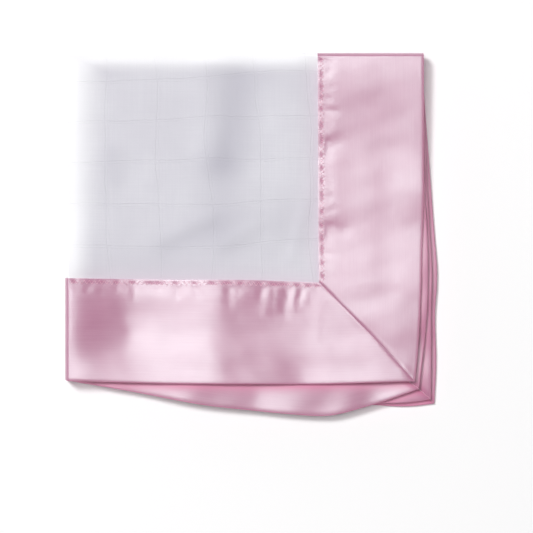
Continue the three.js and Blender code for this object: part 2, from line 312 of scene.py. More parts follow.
# Where the stitches pull, along the near border and along the right one
SEAM_PUCKERS = [
    [6, 15, 21, 29, 38, 47, 52, 61.5, 72, 81.5, 90, 97.5, 108, 116, 121, 129, 135, 140],
    [5, 14, 21.5, 28, 35, 45, 54, 63, 71, 79, 88, 97.5, 106, 114, 121, 129, 137],
]
print("strokes on the top layer:", 1 + len(BORDER_CREASES) + len(MUSLIN_HILLS))

# %% [markdown]
# ## How cloth goes into a fold
# Seen in section, each sheet runs flat, bends and reaches the plane its fold turns in.
# The outermost sheet wraps right round. The sheets inside it stop short or lie in the
# bend, as the inner pages of a booklet do. Every section is drawn once as a path and
# then cut into the same number of stations, so that two of them can be mixed where the
# satin runs round an edge from one sheet to the other.

# %% Fold sections
FOLD_STATIONS = 24
FLAT_FROM = 10.0  # beyond this every sheet is flat
STRIP_FROM = 8.0  # the second fold's inner pair stops here, and a strip bridges it
OUTER_BEND, OUTER_TALL = 1.0, 2.8  # how far out and how high a wrapped sheet bends
NESTED_AT, NESTED_BEND = 3.1, 2.4
LINING_AT, LINING_BEND = 2.65, 1.2
FOLD_CLEAR, MEET_CLEAR, EDGE_CLEAR = 0.7, 0.1, 0.2
NO_STEP = 0.01


def quarter_turn(start, wide, tall):
    angles = np.linspace(math.pi / 2, 0, 13)
    return [(start + wide * (1 - math.sin(a)), tall * (1 - math.cos(a))) for a in angles]


def fold_section(kind, reach):
    """Rows of distance from the fold, drop towards its plane, and length along the cloth."""
    if kind == "wrap":
        tall = min(reach, OUTER_TALL)
        path = [(0, reach)] * (reach > tall + NO_STEP) + quarter_turn(0, OUTER_BEND, tall)
    elif kind == "meet":
        ends = np.linspace(EDGE_CLEAR, FLAT_FROM, 12)
        fall = 1 - (ends - EDGE_CLEAR) / (FLAT_FROM - EDGE_CLEAR)
        path = [(d, (reach - MEET_CLEAR) * f * f) for d, f in zip(ends, fall)]
    elif kind == "lining":
        path = [(LINING_AT, reach - FOLD_CLEAR)]
        path = path + quarter_turn(LINING_AT, LINING_BEND, LINING_BEND)
    elif kind == "nested":
        path = quarter_turn(NESTED_AT, NESTED_BEND, reach - FOLD_CLEAR)
    else:
        path = [(STRIP_FROM, 0.0)]
    if path[-1][0] < FLAT_FROM - NO_STEP:
        path = path + [(FLAT_FROM, 0.0)]
    path = np.array(path)
    steps = np.hypot(*np.diff(path, axis=0).T)
    length = np.concatenate([[0], np.cumsum(steps)])
    at = np.linspace(0, length[-1], FOLD_STATIONS)
    return np.stack([np.interp(at, length, path[:, 0]), np.interp(at, length, path[:, 1]),
                     FLAT_FROM - length[-1] + at])


LEFT_KINDS = [{1: "wrap", -1: "lining"}, {1: "nested", -1: "begin"},
              {1: "begin", -1: "nested"}, {1: "lining", -1: "wrap"}]
FAR_KINDS = [{1: "wrap", -1: "meet"}, {1: "meet", -1: "wrap"}] * 2
LEFT_TOWARD = [-1, -1, 1, 1]
FAR_TOWARD = [-1, 1, -1, 1]


def section_of(k, up, height, far):
    """The section of one face of layer k at its far fold, or else at its left one."""
    kinds, plane = (FAR_KINDS, LAYERS[k]["far_z"]) if far else (LEFT_KINDS, SECOND_Z)
    return fold_section(kinds[k][up], abs(LAYERS[k]["middle"] + up * height - plane))


def lift(k, left_drop, far_drop):
    """How far the two folds move a point up or down."""
    left, far = LEFT_TOWARD[k], FAR_TOWARD[k]
    if left == far:
        return left * np.maximum(left_drop, far_drop)
    return left * left_drop + far * far_drop


def run_on(section, flat, axis=0):
    """A fold section and the flat cloth beyond it: place on the cut, drop, and along."""
    return [np.concatenate([fold, rest], axis=axis)
            for fold, rest in zip(section, (flat, 0 * flat, flat))]


past = -float(fold_section("wrap", 5.9)[2][0])
print("a wrapped sheet needs", round(past, 2), "mm more cloth than a flat one")

# %% [markdown]
# ## A sheet as a thin closed shell
# A grid of points becomes cloth with a thickness: the same grid again, moved inwards
# along its normals, and a narrow wall round the rim that joins the two. It is built
# straight from arrays, because Solidify would move the outer face at tight bends.

# %% Shell builder
SHOWN = bpy.context.scene.collection


def shell(name, points, flat, thickness, towards, marks):
    """A closed shell from a grid in metres, whose points stay as its outer face.

    flat is each point's place on the flat cut. towards is a row, a column and 1 if the
    outer face looks up there, else -1.
    """
    rows, columns = points.shape[:2]
    normals = np.cross(np.gradient(points, axis=0), np.gradient(points, axis=1))
    normals /= np.maximum(np.linalg.norm(normals, axis=2, keepdims=True), 1e-12)
    row, column, sign = towards
    turned = normals[row, column, 2] * sign < 0
    inner = points - (-normals if turned else normals) * thickness * MM
    verts = np.concatenate([points.reshape(-1, 3), inner.reshape(-1, 3)])
    index = np.arange(rows * columns).reshape(rows, columns)
    corners = [index[:-1, :-1], index[1:, :-1], index[1:, 1:], index[:-1, 1:]]
    top = np.stack(corners, axis=-1).reshape(-1, 4)
    under = top[:, ::-1] + rows * columns
    ring = np.concatenate([index[0, :-1], index[:-1, -1], index[-1, :0:-1], index[:0:-1, 0]])
    nxt = np.roll(ring, -1)
    wall = np.stack([ring, nxt, nxt + rows * columns, ring + rows * columns], axis=-1)
    all_faces = np.concatenate([top, under, wall])[:, ::-1 if turned else 1]
    mesh = bpy.data.meshes.new(name)
    mesh.from_pydata(verts.tolist(), [], all_faces.tolist())
    cloth = bpy.data.objects.new(name, mesh)
    SHOWN.objects.link(cloth)
    place = np.concatenate([flat.reshape(-1, 2)] * 2) * MM
    loop_vertex = np.zeros(len(mesh.loops), dtype=np.int32)
    mesh.loops.foreach_get("vertex_index", loop_vertex)
    layer = mesh.uv_layers.new(name="FlatCut")
    layer.data.foreach_set("uv", place[loop_vertex].astype(np.float32).ravel())
    for title, values in marks.items():
        carried = mesh.attributes.new(title, "FLOAT", "POINT")
        carried.data.foreach_set("value", np.concatenate([values.ravel()] * 2).astype(np.float32))
    mesh.shade_smooth()
    ends = np.zeros(2 * len(mesh.edges), dtype=np.int32)
    mesh.edges.foreach_get("vertices", ends)
    ends = np.sort(ends.reshape(-1, 2), axis=1).astype(np.int64)
    rim = np.sort(np.stack([ring, nxt], axis=1), axis=1)
    rim = np.concatenate([rim, rim + rows * columns])
    crisp = np.isin(ends @ (len(verts), 1), rim @ (len(verts), 1))
    mesh.attributes.new("sharp_edge", "BOOLEAN", "EDGE").data.foreach_set("value", crisp)
    mesh.update()
    return cloth


QUARTER_SIGNS = [(1, 1), (1, -1), (-1, -1), (-1, 1)]


def flat_place(k, along_u, along_v):
    """Where a point lies on the open blanket, so that the weave runs on across folds."""
    su, sv = QUARTER_SIGNS[k]
    return np.stack(np.broadcast_arrays(su * along_u, sv * along_v), axis=-1)


print("shell builder ready")

# %% [markdown]
# ## The height of the cloth
# These functions give the height of a face above the middle of its layer. Muslin
# puffs up a little in the middle of the field, dips under the binding and lies still
# where it goes into a fold. Satin has a stitch groove and a lip at its inner edge,
# puckers that run out from the stitches, and a groove at the mitre. A layer also stands
# off the one below: its edges curl, and the border of the top layer billows.

# %% Steps and waves


def ease(t):
    """A smooth step from 0 to 1."""
    t = np.clip(t, 0, 1)
    return t * t * (3 - 2 * t)


def slow_waves(x, down, seed, size, count=5):
    """A few long waves in random directions, the same on every run."""
    draw = np.random.default_rng(seed)
    total = 0
    for _ in range(count):
        angle = draw.uniform(0, 2 * math.pi)
        pace = 2 * math.pi / (size * draw.uniform(0.7, 1.5))
        phase = draw.uniform(0, 2 * math.pi)
        total = total + np.sin((x * math.cos(angle) + down * math.sin(angle)) * pace + phase)
    return total / count


print("an eased quarter of the way is", ease(0.25))

# %% Nets of heights
NET_MARGIN, NET_STEPS, NET_REACH, NET_BLUR = 20, 251, 12, 4.4  # a net's grid is 1 mm


def soft_relief(places_x, places_down, rows):
    """A net of heights as a smooth surface, looked up by x and down."""
    grid = np.arange(NET_STEPS) - NET_MARGIN
    net = np.array([np.interp(grid, places_x, row) for row in rows])
    net = np.array([np.interp(grid, places_down, column) for column in net.T])
    weights = blur_weights(NET_REACH, 1, NET_BLUR)
    for axis in (0, 1):
        pads = [(NET_REACH, NET_REACH) if axis == n else (0, 0) for n in (0, 1)]
        net = np.apply_along_axis(np.convolve, axis, np.pad(net, pads, mode="edge"),
                                  weights, "valid")

    def height(x, down):
        a, b = (np.clip(place + NET_MARGIN, 0, NET_STEPS - 1.1) for place in (x, down))
        i, j = a.astype(int), b.astype(int)
        s, t = a - i, b - j
        return ((1 - s) * ((1 - t) * net[i, j] + t * net[i, j + 1])
                + s * ((1 - t) * net[i + 1, j] + t * net[i + 1, j + 1]))
    return height


near_relief = soft_relief(NEAR_X, NEAR_DOWN, NEAR_RELIEF)
right_relief = soft_relief(RIGHT_X, RIGHT_DOWN, RIGHT_RELIEF)
print("the near net is", round(float(near_relief(3.0, 170.0)), 2), "mm high at the left fold")

# %% Loft of the layers
EDGE_LIFTS = [0.4, 1.3, 0.9, 0.3]  # how far the edges of each layer curl up
CURL_FROM, CURL_OVER, CURL_START = 26, 25, 20
CURL_MEAN, CURL_SWING = 0.65, 0.5
BILLOW_FROM, BILLOW_OVER, BILLOW_TURN = 95, 38, 14
UNDER_LIFT = 2.4  # the most that the underside of the top layer billows


def loft(k, u, v, x, down, face):
    """How far a layer stands off the one below: its edges curl, and the top one billows.

    The billow is held back on the underside, where face is -1.
    """
    curl = 0
    for across, along in ((SIDE - u, v), (SIDE - v, u)):
        wave = CURL_MEAN + CURL_SWING * slow_waves(along, 0 * along, 50 + k, 36 - 5 * k)
        here = ease((CURL_FROM - across) / CURL_OVER) * wave * ease(along / CURL_START)
        curl = np.maximum(curl, here)
    curl = EDGE_LIFTS[k] * curl
    if k > 0:
        return curl
    near, right = (ease((cut - BILLOW_FROM) / BILLOW_OVER) for cut in (v, u))
    turn = ease(0.5 + (u - v) / BILLOW_TURN)
    billow = near * near_relief(x, down) * (1 - turn) + right * right_relief(x, down) * turn
    billow = billow - ripple(x, down) * (near * (1 - turn) + right * turn)
    upper = (curl + billow) * ease(u / 2) * ease(v / 2)
    under = UNDER_LIFT * np.tanh(upper / UNDER_LIFT)
    share = (face + 1) / 2
    return upper * share + under * (1 - share)


def cloth_z(k, face, height, folds, u, v, x, down):
    """Height in the frame, from a height off the layer's middle and the lift of its folds."""
    return (LAYERS[k]["middle"] + height + folds + ripple(x, down)
            + loft(k, u, v, x, down, face))


print("the second layer's corner lifts by", round(float(loft(1, 199, 199, 199, 199, 1)), 2), "mm")

# %% Muslin faces
# How far the painted highlight reaches in from the left fold, how fast that reach shrinks further
# down, and how far it reaches from the far fold
FOLD_LIGHT_LEFT, FOLD_LIGHT_LEAN, FOLD_LIGHT_FAR = 29, 0.08, 15
MUSLIN_LOW, MUSLIN_PUFF, PUFF_OVER = 0.4, 0.72, 14
MUSLIN_WAVES, MUSLIN_DIP, INNER_DIP = 0.16, -0.25, 0.1


def painted_fold_light(u, v):
    """How much painted highlight whitens the muslin near its two folds."""
    return ease(np.maximum(1 - u / (FOLD_LIGHT_LEFT - FOLD_LIGHT_LEAN * v), 1 - v / FOLD_LIGHT_FAR))


def muslin_height(k, up, u, v, x, down, calm=1.0):
    """Height of a muslin face over its layer's middle; calm is 0 where a fold stills it."""
    inside = np.minimum(OPENING - u, OPENING - v)
    height = MUSLIN_LOW + MUSLIN_PUFF * ease((inside + 1) / PUFF_OVER)
    if k == 0 and up > 0:
        extra = strokes(MUSLIN_HILLS, x, down) + MUSLIN_WAVES * slow_waves(x, down, 4, 22, 7)
        return height + calm * ease(inside / 6) * np.maximum(extra, MUSLIN_DIP)
    waves = 1 + slow_waves(x, down, 11 + k + up, 30)
    return height - INNER_DIP * calm * ease(inside / 12) * waves


print("muslin stands", round(float(muslin_height(2, 1, 60.0, 60.0, 60.0, 60.0)), 2),
      "mm off its middle")

# %% Satin faces
STITCH_LINE = BORDER + 0.2
SEAM_SINK, SINK_OVER = 0.22, 9  # how far the satin slopes down to its stitches
GROOVE_WIDE, GROOVE_LEAST, GROOVE_PULL = 0.75, 0.03, 0.32
MITRE_GROOVE, MITRE_WIDE = 0.1, 0.4
RIDGE_HIGH, RIDGE_OFF, RIDGE_WIDE = 0.07, 1.6, 0.8  # beside the mitre, on the side strip
SATIN_WAVES = 0.05
SATIN_LOW, SATIN_SHARP = 0.74, 9
# The plainer faces of the covered layers
PLAIN_GROOVE, PLAIN_SWING, PLAIN_WIDE = 0.36, 0.1, 1.15
PLAIN_LIP, PLAIN_MITRE, PLAIN_MITRE_WIDE, PLAIN_DIP = 0.28, 0.42, 0.9, 0.12


def puckers(places, along, across):
    """Short troughs that run out from the stitches."""
    draw = np.random.default_rng(7)
    total = 0
    for place in places:
        long, wide = draw.uniform(3, 8), draw.uniform(1.4, 2.4)
        lean = draw.uniform(-2.5, 2.5)
        total = total + stroke(across, along, (BORDER - 0.5, place), (BORDER - long, place + lean),
                               wide, -draw.uniform(0.01, 0.13))
    return total


def dashes(places, along):
    """How deep the stitches pull, from 0 to 1 along the seam: deepest at each pucker."""
    total = 0
    for n, place in enumerate(places):
        total = total + hump(along - place, 1.3 + 0.8 * (0, 1, 2, 0)[n % 4])
    return np.clip(total, 0, 1)


def satin_height(k, up, side, u, v, x, down):
    """Height of a satin face: side is True on the strip along the right edge."""
    across, along = (SIDE - u, v) if side else (SIDE - v, u)
    height = np.full(np.broadcast(across, along).shape, HALF_THICK)
    off_mitre = np.abs(u - v) / math.sqrt(2)
    if k == 0 and up > 0:
        places = SEAM_PUCKERS[side]
        pull = GROOVE_LEAST + GROOVE_PULL * dashes(places, along)
        groove = hump(across - STITCH_LINE, GROOVE_WIDE)
        height = height - SEAM_SINK * ease((across - (BORDER - SINK_OVER)) / SINK_OVER)
        height = height - ease(off_mitre / 2.5) * pull * groove
        lip = (across - (BORDER - 0.6)) / (LIP - BORDER + 0.6)
        height = height - SEAM_SINK * np.clip(lip, 0, 1)
        extra = stroke(x, down, *CORNER_HILL) + puckers(places, along, across)
        extra = extra + SATIN_WAVES * slow_waves(x, down, 21, 17, 7)
        crinkle = strokes(BORDER_CREASES, x, down) * ease((BORDER - 0.5 - across) / 2)
        room = ease((across - 1.2) / 7) * ease((BORDER + 1 - across) / 5)
        height = height + room * (extra + crinkle * ease(off_mitre / 3))
        height = height - MITRE_GROOVE * hump(off_mitre, MITRE_WIDE)
        if side:
            ridge = RIDGE_HIGH * hump(off_mitre - RIDGE_OFF, RIDGE_WIDE)
            height = height + ridge * ease(across / 6)
        # A soft floor keeps the satin off the muslin under it
        return SATIN_LOW + np.logaddexp(0, (height - SATIN_LOW) * SATIN_SHARP) / SATIN_SHARP
    wobble = slow_waves(along, along * 0, 3 + k, 9)
    deep = PLAIN_GROOVE + PLAIN_SWING * wobble
    height = height - deep * hump(across - (BORDER - 0.3), PLAIN_WIDE)
    height = height - PLAIN_LIP * ease((across - (LIP - 0.9)) / 0.9)
    height = height - PLAIN_MITRE * hump(off_mitre, PLAIN_MITRE_WIDE)
    room = ease((across - 1.2) / 5) * ease((BORDER + 1 - across) / 3)
    return height - PLAIN_DIP * room * (1 + slow_waves(x, down, 31 + k + up, 24))


print("satin stands", round(float(satin_height(2, 1, False, 60.0, 170.0, 60.0, 170.0)), 2),
      "mm off its middle")

# %% [markdown]
# ## The muslin plies
# Each quarter has a front and a back ply. A ply runs on under the binding almost to the
# bound edge, as the real one does, so its grid is fine where it shows and coarse where
# the satin hides it. Where it wraps a fold it ends in the fold's plane, and inside the
# satin's pocket it is set back a little, so that the two don't share a plane.

# %% Muslin sheets
FOLD_HEIGHT = 1.12  # every ply comes to a fold this far off its layer's middle
POCKET_INSET = 0.5
CALM_OVER, TINT_OVER = 8, 5
COVERED = OPENING + 4  # from here on the satin hides the ply
PLY_STOP = SIDE - 3.0


def muslin_stations(far, k, up):
    """Places across one way of a ply: on the cut, drop into the fold, and along the cloth."""
    seen = np.linspace(FLAT_FROM, COVERED, 66 if k == 0 and up > 0 else 52)[1:]
    flat = np.concatenate([seen, np.linspace(COVERED, PLY_STOP, 7)[1:]])
    return run_on(section_of(k, up, FOLD_HEIGHT, far), flat)


def inside_pocket(across):
    """1 where a ply runs inside the satin, 0 where it is seen."""
    return ease((across - (OPENING - 1)) / 1.6)


def muslin_sheet(k, up, label):
    cut_u, drop_u, along_u = (a[:, None] for a in muslin_stations(False, k, up))
    cut_v, drop_v, along_v = (a[None, :] for a in muslin_stations(True, k, up))
    x, down = plan(k, cut_u, cut_v)
    calm = ease((cut_u - cut_u[0, 0]) / CALM_OVER) * ease((cut_v - cut_v[0, 0]) / CALM_OVER)
    height = muslin_height(k, up, cut_u, cut_v, x, down, calm)
    flatter = FOLD_HEIGHT - muslin_height(k, up, cut_u, cut_v, x, down, 0)
    drops = [drop * (1 - flatter / max(drop.max(), 2)) for drop in (drop_u, drop_v)]
    x, down = plan(k, cut_u + POCKET_INSET * inside_pocket(cut_v) * ease(1 - cut_u / FLAT_FROM),
                   cut_v + POCKET_INSET * inside_pocket(cut_u) * ease(1 - cut_v / FLAT_FROM))
    z = cloth_z(k, up, up * height, lift(k, *drops), cut_u, cut_v, x, down)
    inside = np.minimum(OPENING - cut_u, OPENING - cut_v)
    # Two of these marks are painted light: a pale highlight by the folds, and on the top ply a
    # grey shade where it stands off the layer below.
    marks = {"Tint": np.exp(-np.clip(inside, 0, None) / TINT_OVER),
             "PaintedFoldLight": painted_fold_light(cut_u, cut_v),
             "PaintedGreyShade": strokes(MUSLIN_PAINTED_SHADE, x, down) if k == 0 and up > 0 else 0 * x}
    return shell(f"{LAYERS[k]['name']}_muslin_{label}", to_frame(x, down, z),
                 flat_place(k, along_u, along_v), PLY, (40, 40, up), marks)


muslin_pieces = []
for k, label, up in faces():
    ply = muslin_sheet(k, up, label + "_cloth")
    ply["layer"], ply["face"] = k, label
    muslin_pieces.append(ply)
print("muslin plies:", len(muslin_pieces), "faces each about", len(muslin_pieces[0].data.polygons))

# %% [markdown]
# ## The satin binding
# A strip starts at its stitched lip on one face, runs out to the bound edge, turns round
# it and comes back to the lip on the other face. At the corner it ends on the diagonal,
# where the mitre is sewn. The path across the strip is one list of stations, and the
# fold at its far end is mixed from the sections of the two faces. Two marks go with it,
# and both paint shade into the colour: one darkens dashes along the stitch groove, and
# the other paints a deep pink under the edge of the layer above and round the bound
# edge, in place of light that passes through the cloth.

# %% Satin strips
MITRE_HALF = 0.12
EDGE_TURN = 0.72
SEAM_LEAN, SEAM_WIDE = 1.3, 0.8  # of the dashes of painted shade along the stitches
# The painted deep-pink shade: how far it reaches out past the edge of the layer above, how it
# falls off, and how far in under it it fades; then its strength on the right strips and on the
# turned edge
GLOW_OUT, GLOW_FALL, GLOW_IN = 3.4, 1.6, 2
RIGHT_GLOW, EDGE_GLOW = 0.5, 0.8


def strip_path(fine):
    """Stations across the strip: distance from the bound edge, and face from +1 up to -1 down."""
    seam = np.arange(LIP, 50, -0.45 if fine else -0.9)
    body = np.linspace(seam[-1], EDGE_TURN, 42 if fine else 30)[1:]
    back = np.linspace(EDGE_TURN, LIP, 34)[1:]
    top = [(a, 1.0) for a in np.concatenate([seam, body])]
    angles = np.linspace(0, math.pi, 11)[1:-1]
    turn = [(EDGE_TURN * (1 - math.sin(t)), math.cos(t)) for t in angles]
    return np.array(top + turn + [(EDGE_TURN, -1.0)] + [(a, -1.0) for a in back])


def below_edge(k, side, x, down):
    """Painted deep-pink shade under the edge of the layer above: 1 at that edge, 0 further out."""
    run = np.linspace(0, SIDE, 60)
    edge = SIDE + 0 * run
    if side:
        edge_x, edge_down = plan(k - 1, edge, run)
        beyond = x - np.interp(down, edge_down, edge_x)
    else:
        edge_x, edge_down = plan(k - 1, run, edge)
        beyond = down - np.interp(x, edge_x, edge_down)
    return (np.exp(-(np.clip(beyond, 0, None) / GLOW_OUT) ** GLOW_FALL)
            * ease(1 + beyond / GLOW_IN))


def satin_strip(k, side):
    fine = k == 0
    across, face = strip_path(fine).T[:, :, None]
    share = (face + 1) / 2
    upper, lower = (section_of(k, up, HALF_THICK, side)[:, None, :] for up in (1, -1))
    steps = np.linspace(0, 1, 140 if fine else 90)[None, 1:]
    straight = FLAT_FROM + steps * (SIDE - across - MITRE_HALF - FLAT_FROM)
    cut, drop, along = run_on(upper * share + lower * (1 - share), straight, 1)
    from_edge = np.broadcast_to(SIDE - across, cut.shape)
    u, v = (from_edge, cut) if side else (cut, from_edge)
    x, down = plan(k, u, v)
    top, bottom = (satin_height(k, up, side, u, v, x, down) for up in (1, -1))
    height = np.where(face > 0, top, bottom)
    height = HALF_THICK + (height - HALF_THICK) * ease((cut - 0.5) / 6)
    folds = lift(k, 0 * drop, drop) if side else lift(k, drop, 0 * drop)
    z = cloth_z(k, face, face * height, folds, u, v, x, down)
    steps_across = np.hypot(np.diff(across[:, 0]), HALF_THICK * np.diff(face[:, 0]))
    run = np.concatenate([[0], np.cumsum(steps_across)])[:, None]
    # Painted shade: deeper pink in dashes along the stitch groove, under the edge of the layer
    # above, and on the turned bound edge.
    leaning = (v if side else u) + SEAM_LEAN * (across - BORDER)
    groove_shade = dashes(SEAM_PUCKERS[side], leaning) * hump(across - STITCH_LINE, SEAM_WIDE)
    deep = 0 * x
    if k > 0:
        deep = below_edge(k, side, x, down) * share * (RIGHT_GLOW if side else 1.0)
    deep = np.maximum(deep, EDGE_GLOW * ease(1.15 - across / EDGE_TURN))
    return shell(f"{LAYERS[k]['name']}_{'side' if side else 'end'}_satin", to_frame(x, down, z),
                 flat_place(k, along, 0 * along + run), SATIN, (8, 60, 1),
                 {"Tint": groove_shade, "PaintedShadePink": deep})


satin_pieces = []
for k in range(4):
    for side in (True, False):
        strip = satin_strip(k, side)
        strip["layer"], strip["side"] = k, side
        satin_pieces.append(strip)
print("satin strips:", len(satin_pieces), "faces each about", len(satin_pieces[0].data.polygons))

# %% [markdown]
# ## Finishes: shared weave and fibre patterns
# Three finishes use the same two ideas. Yarns cross over and under each other, and no
# yarn is quite even. Each idea is a node group with its own sizes as inputs, so satin,
# muslin and thread can use it at their own scale.

# %% Shader groups


def fill(tree, made, inputs):
    """The inputs of a node: sockets are wired to them, and other values are filled in."""
    for place, given in dict(inputs).items():
        if isinstance(given, bpy.types.NodeSocket):
            tree.links.new(given, made.inputs[place])
        elif given is not None:
            made.inputs[place].default_value = given


def node(tree, kind, inputs=(), **settings):
    """A new node with its settings and inputs."""
    made = tree.nodes.new(kind)
    for title, value in settings.items():
        setattr(made, title, value)
    fill(tree, made, inputs)
    return made


def new_group(name, inputs, outputs, kind="ShaderNodeTree"):
    """A node group. inputs and outputs say what each socket holds."""
    group = bpy.data.node_groups.new(name, kind)
    for way, sockets in (("INPUT", inputs), ("OUTPUT", outputs)):
        for title, holds in sockets.items():
            group.interface.new_socket(title, in_out=way, socket_type="NodeSocket" + holds)
    return group, group.nodes.new("NodeGroupInput"), group.nodes.new("NodeGroupOutput")


def maths(tree, operation, *given):
    """One Math node, from sockets and numbers."""
    return node(tree, "ShaderNodeMath", enumerate(given), operation=operation).outputs[0]


def noise(tree, vector, scale, detail, roughness=0.5):
    return node(tree, "ShaderNodeTexNoise", {
        "Vector": vector, "Scale": scale, "Detail": detail, "Roughness": roughness}).outputs["Fac"]


def split(tree, vector):
    return node(tree, "ShaderNodeSeparateXYZ", {0: vector}).outputs


def weave_group():
    """The height of crossing yarns, from a flat place in metres."""
    group, given, out = new_group("Woven yarns", {
        "Place": "Vector", "Warp pitch": "Float", "Weft pitch": "Float",
        "Float length": "Float"}, {"Height": "Float"})
    x, y, _ = split(group, given.outputs["Place"])
    across = maths(group, "DIVIDE", x, given.outputs["Warp pitch"])
    along = maths(group, "DIVIDE", y, given.outputs["Weft pitch"])
    warp, weft = (
        maths(group, "ABSOLUTE", maths(group, "SINE", maths(group, "MULTIPLY", way, math.pi)))
        for way in (across, along))
    yarns_past = maths(group, "ADD", maths(group, "FLOOR", across), maths(group, "FLOOR", along))
    over = maths(group, "DIVIDE", yarns_past,
                 maths(group, "ADD", given.outputs["Float length"], 1.0))
    turn = maths(group, "SINE", maths(group, "MULTIPLY", over, 2 * math.pi))
    pick = maths(group, "MULTIPLY_ADD", turn, 0.5, 0.5)
    high = maths(group, "MULTIPLY", warp, pick)
    low = maths(group, "MULTIPLY", weft, maths(group, "SUBTRACT", 1.0, pick))
    fill(group, out, {"Height": maths(group, "MAXIMUM", high, low)})
    return group


def slub_group():
    """Uneven yarn: long thin streaks along one way of the cloth, and soft blotches."""
    group, given, out = new_group("Uneven yarns", {
        "Place": "Vector", "Streak length": "Float", "Streak width": "Float",
        "Blotch size": "Float"}, {"Streaks": "Float", "Blotches": "Float"})
    x, y, _ = split(group, given.outputs["Place"])
    long = maths(group, "DIVIDE", x, given.outputs["Streak length"])
    wide = maths(group, "DIVIDE", y, given.outputs["Streak width"])
    stretched = node(group, "ShaderNodeCombineXYZ", {0: long, 1: wide}).outputs[0]
    pace = maths(group, "DIVIDE", 1.0, given.outputs["Blotch size"])
    fill(group, out, {"Streaks": noise(group, stretched, 1.0, 3, 0.6),
                      "Blotches": noise(group, given.outputs["Place"], pace, 2)})
    return group


weave = weave_group()
slub = slub_group()
print("shader groups:", weave.name, "and", slub.name)

# %% [markdown]
# ## Satin
# Satin is a weave with long floats, so it reflects in a soft streak along the strip and
# looks pearly. The colour is a mid pink; most of what looks pale in it is reflected
# light, so the Principled shader gets a strong, fairly tight, anisotropic reflection.
# Where the mesh carries its marks of painted shade the pink is deeper and reflects less.

# %% Helpers for finishes


def material(name):
    finish = bpy.data.materials.new(name)
    finish.use_nodes = True
    tree = finish.node_tree
    return finish, tree, tree.nodes["Principled BSDF"]


def put(tree, group, vector, **sizes):
    """A shared group at work in a finish, with its sizes."""
    inputs = {title.replace("_", " "): size for title, size in sizes.items()}
    return node(tree, "ShaderNodeGroup", {"Place": vector, **inputs}, node_tree=group).outputs


def cut_place(tree):
    """The place on the flat cut, in metres."""
    return node(tree, "ShaderNodeUVMap", uv_map="FlatCut").outputs[0]


def object_place(tree):
    return node(tree, "ShaderNodeTexCoord").outputs["Object"]


def colour_between(tree, mask, low, high):
    """Two colours mixed: the Mix node has them at its inputs 6 and 7."""
    low, high = ((*given, 1) if isinstance(given, tuple) else given for given in (low, high))
    return node(tree, "ShaderNodeMix", {"Factor": mask, 6: low, 7: high},
                data_type="RGBA").outputs[2]


def bump(tree, height, strength, distance, under=None):
    return node(tree, "ShaderNodeBump", {"Strength": strength, "Distance": distance,
                                         "Height": height, "Normal": under}).outputs[0]


def map_range(tree, *given):
    """From a value, its range's two ends and the two that they become."""
    return node(tree, "ShaderNodeMapRange", enumerate(given)).outputs[0]


def mark(tree, title):
    """A number that the mesh carries at each point."""
    return node(tree, "ShaderNodeAttribute", attribute_name=title).outputs["Fac"]


print("helpers for finishes ready")

# %% Satin material
PINKS = (0.40, 0.13, 0.236), (0.44, 0.158, 0.27)
PALE_YARN = (0.54, 0.28, 0.39)
# Both are painted shade: deeper pink in the dashes of the stitch groove, and a deep pink under the
# edge of the layer above and on the turned edge.
GROOVE_SHADE_PINK, PAINTED_SHADE_PINK = (0.40, 0.09, 0.21), (0.70, 0.17, 0.34)
ROUGH_FROM, ROUGH_TO, MATT = 0.31, 0.36, 0.3


def satin_material():
    finish, tree, shader = material("satin_pink")
    place = cut_place(tree)
    yarns = put(tree, weave, place, Warp_pitch=0.00016, Weft_pitch=0.0009, Float_length=4.0)
    uneven = put(tree, slub, place, Streak_length=0.03, Streak_width=0.0007, Blotch_size=0.02)
    mask = map_range(tree, uneven["Blotches"], 0.35, 0.65, 0, 1)
    tone = colour_between(tree, mask, *PINKS)
    streak = map_range(tree, uneven["Streaks"], 0.3, 0.7, 0, 1)
    base = colour_between(tree, maths(tree, "MULTIPLY", streak, 0.25), tone, PALE_YARN)
    # Painted shade: the dashes of the stitch groove and the cloth under the layer above or round
    # its edge are mixed to deeper pinks.
    groove_shade = maths(tree, "MULTIPLY", mark(tree, "Tint"), 0.85)
    base = colour_between(tree, groove_shade, base, GROOVE_SHADE_PINK)
    deep = mark(tree, "PaintedShadePink")
    base = colour_between(tree, maths(tree, "MULTIPLY", deep, 0.85), base, PAINTED_SHADE_PINK)
    rough = map_range(tree, uneven["Streaks"], 0.3, 0.7, ROUGH_FROM, ROUGH_TO)
    matt = maths(tree, "MULTIPLY", maths(tree, "MAXIMUM", deep, groove_shade), MATT)
    fine = bump(tree, yarns["Height"], 0.04, 0.00012)
    tangent = node(tree, "ShaderNodeTangent", direction_type="UV_MAP", uv_map="FlatCut")
    fill(tree, shader, {
        "Base Color": base, "Roughness": maths(tree, "ADD", matt, rough),
        "Normal": bump(tree, uneven["Streaks"], 0.07, 0.00018, fine),
        "Tangent": tangent.outputs[0], "Anisotropic": 0.6, "Anisotropic Rotation": 0.25,
        "IOR": 1.7, "Specular IOR Level": 1.0, "Specular Tint": (0.85, 0.99, 0.97, 1),
        "Sheen Weight": 0.4, "Sheen Roughness": 0.3, "Sheen Tint": (1.0, 0.88, 0.94, 1)})
    return finish


satin_look = satin_material()
print("satin look:", satin_look.name)

# %% [markdown]
# ## Muslin
# The centre is an open weave of fine white cotton, with a windowpane of slightly
# thicker yarns about every 27 mm. The squares are drawn from the place on the open
# blanket, so they run on from one quarter to the next across the folds. Where the
# binding's seam allowance lies under the ply, a little pink shows through. The mesh
# also carries two marks of painted light: a grey painted shade where the cloth stands
# off the layer below, and a pale painted highlight by its folds, where they turn to the light.

